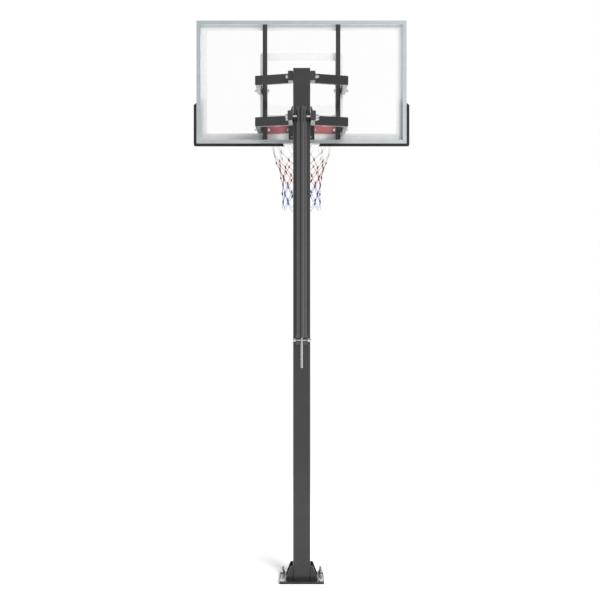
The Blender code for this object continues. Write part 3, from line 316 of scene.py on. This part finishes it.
def moulded_plastic(name, dark, light):
    """Injection-moulded plastic with a spark-eroded grain.

    The grain is about 0.5 mm across, coarser than a real one, so that it shows.
    """
    material, tree = empty_material(name)
    place = add_node(tree, "ShaderNodeTexCoord").outputs["Object"]
    grain = add_node(tree, "ShaderNodeTexNoise", {"Vector": place, "Scale": 2100.0, "Detail": 2.0})
    relief = add_node(tree, "ShaderNodeBump", {
        "Height": grain.outputs["Fac"], "Distance": 0.00005, "Strength": 0.5})
    # Chalking from the sun in patches about 35 mm across.
    chalk = add_node(tree, "ShaderNodeTexNoise", {"Vector": place, "Scale": 28.0, "Detail": 4.0})
    tone = add_node(tree, "ShaderNodeValToRGB", {"Fac": chalk.outputs["Fac"]},
                    stops=((0.3, dark), (0.75, light))).outputs["Color"]
    shell = add_node(tree, "ShaderNodeBsdfPrincipled", {
        "Base Color": tone, "Roughness": 0.48, "IOR": 1.47, "Normal": relief.outputs["Normal"]})
    add_node(tree, "ShaderNodeOutputMaterial", {"Surface": shell.outputs["BSDF"]})
    return material


# Dull black polypropylene, a touch greyer where the sun has chalked it.
paint(["pole_cap"], moulded_plastic("black_moulded_polypropylene", "17171a", "222224"))
paint(["pivot_sleeve_lower", "pivot_sleeve_upper"], black_coat)


# Anchors: four zinc-plated steel studs with rolled threads, which stand up through the base plate
# from the ground and hold it down with washers and hexagon nuts.

def zinc_plate(name, thread_pitch=None):
    """Bright zinc plating with a fine crystalline grain, and thread crests if a pitch is given."""
    material, tree = empty_material(name)
    place = add_node(tree, "ShaderNodeTexCoord").outputs["Object"]
    # Plating grain about 1 mm across, coarser than real so that it shows, and passivation
    # clouds about 15 mm across.
    spangle = add_node(tree, "ShaderNodeTexVoronoi", {"Vector": place, "Scale": 1000.0})
    clouds = add_node(tree, "ShaderNodeTexNoise", {"Vector": place, "Scale": 65.0, "Detail": 4.0})
    tone = add_node(tree, "ShaderNodeValToRGB", {"Fac": clouds.outputs["Fac"]}, stops=(
        (0.28, "d2d4d7"), (0.55, "e6e8e9"), (0.8, "dddcd6"))).outputs["Color"]
    shine = add_node(tree, "ShaderNodeMapRange", {
        "Value": clouds.outputs["Fac"], "From Min": 0.3, "From Max": 0.7,
        "To Min": 0.22, "To Max": 0.36})
    relief = add_node(tree, "ShaderNodeBump", {
        "Height": spangle.outputs["Distance"], "Distance": 0.00002, "Strength": 0.12})
    if thread_pitch:
        height = add_node(tree, "ShaderNodeSeparateXYZ", {"Vector": place}).outputs["Z"]
        turns = add_node(tree, "ShaderNodeMath", {
            0: height, 1: 2 * math.pi / thread_pitch}, operation="MULTIPLY")
        thread = add_node(tree, "ShaderNodeMath", {0: turns.outputs[0]}, operation="SINE")
        relief = add_node(tree, "ShaderNodeBump", {
            "Height": thread.outputs[0], "Distance": thread_pitch / 5, "Strength": 0.9,
            "Normal": relief.outputs["Normal"]})
    shell = add_node(tree, "ShaderNodeBsdfPrincipled", {
        "Base Color": tone, "Metallic": 1.0, "Roughness": shine.outputs["Result"],
        "Normal": relief.outputs["Normal"]})
    add_node(tree, "ShaderNodeOutputMaterial", {"Surface": shell.outputs["BSDF"]})
    return material


# Pale bluish zinc with soft highlights; the studs catch a line of light on each thread crest.
zinc = zinc_plate("bright_zinc_plate")
threaded_zinc = zinc_plate("threaded_zinc_plate", thread_pitch=0.002)
corners = [f"{end}_{side}" for end in ("rear", "front") for side in ("left", "right")]
paint([f"anchor_nut_{corner}" for corner in corners], zinc)
paint([f"anchor_stud_{corner}" for corner in corners], threaded_zinc)


# Arms: two bent and welded tubes below and two above, each pair swinging on a bolt through the
# pole, black powder coat on steel, held by zinc-plated bolts and nuts.
paint([f"{level}_arm_{side}" for level in ("lower", "upper") for side in ("left", "right")],
      black_coat)
ends = [f"{level}_front_{side}" for level in ("lower", "upper") for side in ("left", "right")]
pivots = ["lower_pivot", "upper_pivot"] + ends
paint([f"{name}_{part}" for name in pivots for part in ("bolt", "nut")], zinc)


# Screw jack: a powder-coated channel pinned between the lower arms, a brass nut fixed in it, and
# a screw with a crank end, which turns in a tube held by the foot bracket on the pole.

# The jack's coat holds graphite flake, so its folds run from near black to bright grey.
flake_coat = powder_coat("black_graphite_flake_coat", "0e0e10", "141416", "1e1e20", 2.0)
paint(["jack_column", "jack_inner_tube", "jack_foot_bracket"], flake_coat)
paint(["jack_pin", "jack_pin_nut", "jack_foot_bolt", "jack_foot_nut"], zinc)


def turned_brass(name):
    """Turned brass with tool rings 0.4 mm apart and a thin brown tarnish."""
    radians_per_metre = 15700.0
    material, tree = empty_material(name)
    place = add_node(tree, "ShaderNodeTexCoord").outputs["Object"]
    height = add_node(tree, "ShaderNodeSeparateXYZ", {"Vector": place}).outputs["Z"]
    turns = add_node(tree, "ShaderNodeMath", {0: height, 1: radians_per_metre},
                     operation="MULTIPLY")
    rings = add_node(tree, "ShaderNodeMath", {0: turns.outputs[0]}, operation="SINE")
    relief = add_node(tree, "ShaderNodeBump", {
        "Height": rings.outputs[0], "Distance": 0.00002, "Strength": 0.4})
    # Tarnish in spots about 11 mm across.
    clouds = add_node(tree, "ShaderNodeTexNoise", {"Vector": place, "Scale": 90.0, "Detail": 5.0})
    tone = add_node(tree, "ShaderNodeValToRGB", {"Fac": clouds.outputs["Fac"]},
                    stops=((0.3, "8a6a34"), (0.7, "c9a457"))).outputs["Color"]
    shell = add_node(tree, "ShaderNodeBsdfPrincipled", {
        "Base Color": tone, "Metallic": 1.0, "Roughness": 0.34, "Normal": relief.outputs["Normal"]})
    add_node(tree, "ShaderNodeOutputMaterial", {"Surface": shell.outputs["BSDF"]})
    return material


# Golden turned brass, slightly browned.
paint(["jack_nut"], turned_brass("tarnished_turned_brass"))
paint(["jack_screw"], zinc)


# Backboard frame: anodised aluminium channel, mitred at the corners, with a black steel upright
# behind each arm end and a black bracket that carries the rim's bolts.

def anodised(name, stretch):
    """Satin-anodised aluminium extrusion, with die lines along its length.

    The lines are about 0.8 mm apart, coarser than real ones, so that they show.
    """
    material, tree = empty_material(name)
    place = add_node(tree, "ShaderNodeTexCoord").outputs["Object"]
    run = add_node(tree, "ShaderNodeMapping", {"Vector": place, "Scale": stretch})
    lines = add_node(tree, "ShaderNodeTexNoise", {
        "Vector": run.outputs[0], "Scale": 1250.0, "Detail": 3.0})
    relief = add_node(tree, "ShaderNodeBump", {
        "Height": lines.outputs["Fac"], "Distance": 0.00002, "Strength": 0.35})
    # The oxide film varies in clouds about 90 mm across.
    clouds = add_node(tree, "ShaderNodeTexNoise", {"Vector": place, "Scale": 11.0, "Detail": 4.0})
    tone = add_node(tree, "ShaderNodeValToRGB", {"Fac": clouds.outputs["Fac"]},
                    stops=((0.3, "e3edf1"), (0.7, "edf5f8"))).outputs["Color"]
    shine = add_node(tree, "ShaderNodeMapRange", {
        "Value": lines.outputs["Fac"], "From Min": 0.3, "From Max": 0.7,
        "To Min": 0.25, "To Max": 0.36})
    shell = add_node(tree, "ShaderNodeBsdfPrincipled", {
        "Base Color": tone, "Metallic": 1.0, "Roughness": shine.outputs["Result"],
        "Normal": relief.outputs["Normal"]})
    add_node(tree, "ShaderNodeOutputMaterial", {"Surface": shell.outputs["BSDF"]})
    return material


# Cool pale satin silver; the die lines run along each rail.
paint(["frame_bottom", "frame_top"], anodised("satin_anodised_level_rail", (0.01, 1.0, 1.0)))
paint(["frame_left", "frame_right"], anodised("satin_anodised_side_rail", (1.0, 1.0, 0.01)))
paint(["upright_left", "upright_right", "rim_bracket"], black_coat)


# Glass: one clear toughened sheet 5 mm thick, with a white border and a white target line
# printed on its playing face.
glass_low, glass_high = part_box("backboard_glass")
# Nearly colourless, with sharp reflections that grow at low angles.
glass_finish, tree = empty_material("clear_toughened_glass")
place = add_node(tree, "ShaderNodeTexCoord").outputs["Object"]
# Roller wave from toughening, about 250 mm from crest to crest, over truly flat faces.
wave = add_node(tree, "ShaderNodeTexNoise", {"Vector": place, "Scale": 4.0, "Detail": 0.0})
flat = add_node(tree, "ShaderNodeNewGeometry").outputs["True Normal"]
relief = add_node(tree, "ShaderNodeBump", {
    "Height": wave.outputs["Fac"], "Distance": 0.0002, "Strength": 0.1, "Normal": flat})
# Wiping marks about 110 mm across.
smear = add_node(tree, "ShaderNodeTexNoise", {"Vector": place, "Scale": 9.0, "Detail": 6.0})
haze = add_node(tree, "ShaderNodeValToRGB", {"Fac": smear.outputs["Fac"]},
                stops=((0.4, "fefefe"), (0.7, "ffffff"))).outputs["Color"]
shell = add_node(tree, "ShaderNodeBsdfPrincipled", {
    "Base Color": haze, "Roughness": 0.0, "IOR": 1.5, "Transmission Weight": 1.0,
    "Normal": relief.outputs["Normal"]})
clear = add_node(tree, "ShaderNodeBsdfTransparent", {"Color": (0.992, 0.996, 0.994, 1.0)})
rays = add_node(tree, "ShaderNodeLightPath")
# Light passes straight on to what is printed or stands behind the sheet.
passing = add_node(tree, "ShaderNodeMath", {
    0: rays.outputs["Is Shadow Ray"], 1: rays.outputs["Is Diffuse Ray"]}, operation="MAXIMUM")
sheet = add_node(tree, "ShaderNodeMixShader", {
    "Fac": passing.outputs[0], 1: shell.outputs[0], 2: clear.outputs[0]})
add_node(tree, "ShaderNodeOutputMaterial", {"Surface": sheet.outputs[0]})
paint(["backboard_glass"], glass_finish)

# Fired white enamel print: dense but not opaque, so that what lies in front shows as a grey.
enamel, tree = empty_material("white_fired_enamel_print")
place = add_node(tree, "ShaderNodeTexCoord").outputs["Object"]
# The ink's thickness varies in clouds about 25 mm across.
clouds = add_node(tree, "ShaderNodeTexNoise", {"Vector": place, "Scale": 40.0, "Detail": 5.0})
tone = add_node(tree, "ShaderNodeValToRGB", {"Fac": clouds.outputs["Fac"]},
                stops=((0.3, "e5e8e8"), (0.7, "ebeeed"))).outputs["Color"]
face_side = add_node(tree, "ShaderNodeBsdfDiffuse", {"Color": tone})
through = add_node(tree, "ShaderNodeBsdfTranslucent", {"Color": tone})
shell = add_node(tree, "ShaderNodeMixShader", {
    "Fac": 0.35, 1: face_side.outputs[0], 2: through.outputs[0]})
add_node(tree, "ShaderNodeOutputMaterial", {"Surface": shell.outputs[0]})


def rounded_loop(low_x, high_x, low_z, high_z, radius):
    """Corner-rounded outline, anticlockwise in X and Z, the same count of points for any size."""
    steps = 6
    points = []
    corners = ((high_x - radius, low_z + radius, -90), (high_x - radius, high_z - radius, 0),
               (low_x + radius, high_z - radius, 90), (low_x + radius, low_z + radius, 180))
    for x, z, start in corners:
        for step in range(steps + 1):
            turn = math.radians(start + 90 * step / steps)
            points.append((x + radius * math.cos(turn), z + radius * math.sin(turn)))
    return points


def printed_band(name, outer, inner, y):
    """A flat printed band between two outlines of equal count."""
    builder = bmesh.new()
    outside, inside = [
        [builder.verts.new((x, y, z)) for x, z in outline] for outline in (outer, inner)]
    count = len(outer)
    for i in range(count):
        j = (i + 1) % count
        builder.faces.new((outside[i], outside[j], inside[j], inside[i]))
    band = solid(name, builder, enamel, "board", smooth=False)


# The ink stands this far off the glass. Outlines are left, right, bottom, top and corner radius.
ink = 0.00012
print_y = glass_high.y + ink
margin = 0.001
border_outer = (glass_low.x + margin, glass_high.x - margin,
                glass_low.z + margin, glass_high.z - margin, 0.002)
border_inner = (-0.620, 0.620, 2.762, 3.437, 0.002)
target_outer = (-0.2715, 0.2715, 2.8325, 3.290, 0.017)
target_inner = (-0.2208, 0.2208, 2.8830, 3.2393, 0.006)
printed_band("border_print", rounded_loop(*border_outer), rounded_loop(*border_inner), print_y)
printed_band("target_print", rounded_loop(*target_outer), rounded_loop(*target_inner), print_y)


# Corner pads: black self-skinning foam round the board's lower corners, pressed on over the
# frame, with rounded edges and a fine moulded grain.
rubber, tree = empty_material("black_self_skinned_foam")
place = add_node(tree, "ShaderNodeTexCoord").outputs["Object"]
# Moulded grain about 1.1 mm across.
grain = add_node(tree, "ShaderNodeTexNoise", {"Vector": place, "Scale": 900.0, "Detail": 3.0})
relief = add_node(tree, "ShaderNodeBump", {
    "Height": grain.outputs["Fac"], "Distance": 0.00012, "Strength": 0.6})
chalk = add_node(tree, "ShaderNodeTexNoise", {"Vector": place, "Scale": 14.0, "Detail": 5.0})
# Matt charcoal, a shade greyer in patches about 70 mm across where weather has dulled the skin.
tone = add_node(tree, "ShaderNodeValToRGB", {"Fac": chalk.outputs["Fac"]},
                stops=((0.3, "232326"), (0.75, "303034"))).outputs["Color"]
shell = add_node(tree, "ShaderNodeBsdfPrincipled", {
    "Base Color": tone, "Roughness": 0.62, "IOR": 1.4, "Normal": relief.outputs["Normal"]})
add_node(tree, "ShaderNodeOutputMaterial", {"Surface": shell.outputs["BSDF"]})
for side in ("left", "right"):
    node = nodes[f"corner_pad_{side}"]
    builder = bmesh.new()
    builder.from_mesh(node.data)
    # The facets are joined up, so that the bevel runs unbroken along each edge.
    bmesh.ops.remove_doubles(builder, verts=builder.verts, dist=0.00002)
    pad = solid(f"foam_pad_{side}", builder, rubber, "board")
    soft_edge = pad.modifiers.new("moulded_edges", "BEVEL")
    soft_edge.width = 0.0035
    soft_edge.segments = 3
    soft_edge.angle_limit = math.radians(25)
    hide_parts(f"corner_pad_{side}")


# Rim: red powder-coated steel, a plate bolted through the glass, a ring on a webbed neck, two flat
# braces behind the board, and twelve bent-wire hooks under the ring that carry the net.
red_coat = powder_coat("red_powder_coat", "a3141f", "b01824", "b52b34")
# Deep signal red with a clear gloss that pales at low angles.
paint(["rim_plate", "rim_ring"], red_coat)
# The braces take a paler, rose copy of the rim's red. This is a painted reflection: the white sheen
# of the glass between them and the camera is painted into their colour.
paint(["rim_brace_left", "rim_brace_right"],
      powder_coat("red_coat_painted_glass_sheen", "9e5053", "a85f63", "b98083"))
paint(["brace_bolt_left", "brace_bolt_right"], zinc)
paint([f"rim_bolt_{level}_{side}" for level in ("lower", "upper") for side in ("left", "right")],
      zinc)
net_low, net_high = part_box("net")
ring_height = 2.8420
ring_centre = Vector((0.0, (net_low.y + net_high.y) / 2, ring_height))
ring_radius = 0.2366
bar_radius = 0.008
loops = 12
wire_radius = 0.0016
hook_reach = 0.0055
hook_drop = 0.0085
hook_span = 0.22
hook_steps = 12


def round_the_ring(radius, turn, drop):
    """A point at a distance from the ring's axis, at a turn in steps, below the ring's centre."""
    angle = 2 * math.pi * turn / loops
    return ring_centre + Vector((radius * math.cos(angle), radius * math.sin(angle), -drop))


hooks = bmesh.new()
for i in range(loops):
    # A wire that leaves the ring's underside, turns up inside it and stops short of the bar.
    path = []
    for step in range(hook_steps + 1):
        swing = math.pi * step / hook_steps
        reach = hook_reach * math.sin(swing)
        turn = i + hook_span * (step / hook_steps - 0.5)
        path.append(round_the_ring(ring_radius - reach, turn,
                                   bar_radius * 0.8 + hook_drop * math.sin(swing)))
    sweep(hooks, path, [wire_radius] * len(path), sides=8)
hook_set = solid("net_hooks", hooks, red_coat, "board")


# Net: braided polyester cord in diamonds, white above, then red, then blue, with a long wrapped
# knot at every crossing; twelve loops hang from the hooks.

# Each row's distance from the ring's axis, and its drop below the ring's centre.
net_rows = ((ring_radius, 0.0125), (0.2010, 0.160), (0.1780, 0.213), (0.1610, 0.262),
            (0.1465, 0.318), (0.1400, 0.368), (0.1360, 0.431), (0.1385, 0.487), (0.1400, 0.541))
last = len(net_rows) - 1


def braided_cord(name, dyes, strands_per_metre):
    """Braid of matt polyester yarn, strands about a millimetre wide, dyed by height from the hem."""
    dyed_height = 0.55
    material, tree = empty_material(name)
    place = add_node(tree, "ShaderNodeTexCoord").outputs["Object"]
    height = add_node(tree, "ShaderNodeSeparateXYZ", {"Vector": place}).outputs["Z"]
    fuzz = add_node(tree, "ShaderNodeTexNoise", {
        "Vector": place, "Scale": strands_per_metre, "Detail": 2.0})
    span = add_node(tree, "ShaderNodeMapRange", {
        "Value": height, "From Min": ring_centre.z - dyed_height, "From Max": ring_centre.z})
    tone = add_node(tree, "ShaderNodeValToRGB", {"Fac": span.outputs["Result"]},
                    stops=dyes).outputs["Color"]
    grime = add_node(tree, "ShaderNodeValToRGB", {"Fac": fuzz.outputs["Fac"]},
                     stops=((0.25, 0.72), (0.6, 1.0))).outputs["Color"]
    cloth = add_node(tree, "ShaderNodeMix", {"Factor": 1.0, 6: tone, 7: grime},
                     data_type="RGBA", blend_type="MULTIPLY")
    relief = add_node(tree, "ShaderNodeBump", {
        "Height": fuzz.outputs["Fac"], "Distance": 0.0005, "Strength": 0.7})
    shell = add_node(tree, "ShaderNodeBsdfPrincipled", {
        "Base Color": cloth.outputs[2], "Roughness": 0.78, "Sheen Weight": 0.3,
        "Normal": relief.outputs["Normal"]})
    add_node(tree, "ShaderNodeOutputMaterial", {"Surface": shell.outputs["BSDF"]})
    return material


# Single cord whose white yarn is mixed with dyed: cream, then dusty red, then soft blue.
thin_cord = braided_cord("pale_braided_cord", (
    (0.0, "e0e3ea"), (0.05, "a2acd8"), (0.2, "7d8ac8"), (0.315, "5865b4"), (0.33, "b9686f"),
    (0.60, "cb8c90"), (0.64, "edeae4")), 900.0)
# Full-coloured wrappings over the crossings.
wrapped_cord = braided_cord("dyed_wrapped_knots", (
    (0.0, "d5d9e2"), (0.035, "8f9fd2"), (0.06, "1c2f92"), (0.315, "1b2f92"), (0.33, "841420"),
    (0.61, "8a1621"), (0.63, "dcd8d0")), 1100.0)

cord_radius = 0.0017
cord_steps = 12
knot_radius = 0.0054
knot_half_length = 0.0125
knot_steps = 26
wraps_per_knot = 7
slack = 0.0016
knot_points = []
for row, (radius, drop) in enumerate(net_rows):
    knot_points.append([])
    for i in range(loops):
        # Each crossing hangs about 2 mm off its even place, by sines that never fall in step.
        stray = 0.0 if row in (0, last) else 0.0022
        wobble = math.sin(12.9898 * (i + 1) + 78.233 * row)
        other = math.cos(39.346 * (i + 1) + 11.135 * row)
        knot_points[-1].append(round_the_ring(
            radius - 0.004 + stray * wobble, i + 0.5 * (row % 2), drop + stray * other))
cords = bmesh.new()
knots = bmesh.new()


def neighbour(row, i, way):
    """The crossing one row down, to the left (-1) or right (1); odd rows stand half a step on."""
    return knot_points[row + 1][(i + (way - 1) // 2 + row % 2) % loops]


for row in range(last):
    for i in range(loops):
        top = knot_points[row][i]
        for way in (-1, 1):
            low = neighbour(row, i, way)
            side = way * slack * (top - ring_centre).cross(Vector((0, 0, 1))).normalized()
            path = [
                top.lerp(low, step / cord_steps) + side * math.sin(math.pi * step / cord_steps)
                for step in range(cord_steps + 1)]
            radii = [cord_radius + 0.0002 * math.sin(9.0 * step + i)
                     for step in range(cord_steps + 1)]
            sweep(cords, path, radii, sides=8)
for row in range(1, last):
    for i in range(loops):
        # The wrapping follows one of the two crossing strands, now to one side, now the other.
        centre = knot_points[row][i]
        way = -1 if (i + row) % 2 else 1
        along = (neighbour(row, i, way) - centre).normalized()
        along = (along * 0.8 + Vector((0, 0, -0.5))).normalized()
        half_length = knot_half_length + 0.0022 * math.sin(3.7 * i + 1.9 * row)
        path = []
        radii = []
        for step in range(knot_steps + 1):
            share = step / knot_steps
            path.append(centre + along * half_length * (2 * share - 1))
            swell = math.sin(math.pi * min(1.0, max(0.0, share * 0.92 + 0.04))) ** 0.4
            ripple = 0.0004 * math.sin(2 * math.pi * share * wraps_per_knot)
            radii.append(knot_radius * swell + ripple)
        sweep(knots, path, radii, sides=10)
net = solid("braided_net_cords", cords, thin_cord, "board")
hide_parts("net")
wraps = solid("net_wrapped_knots", knots, wrapped_cord, "board")
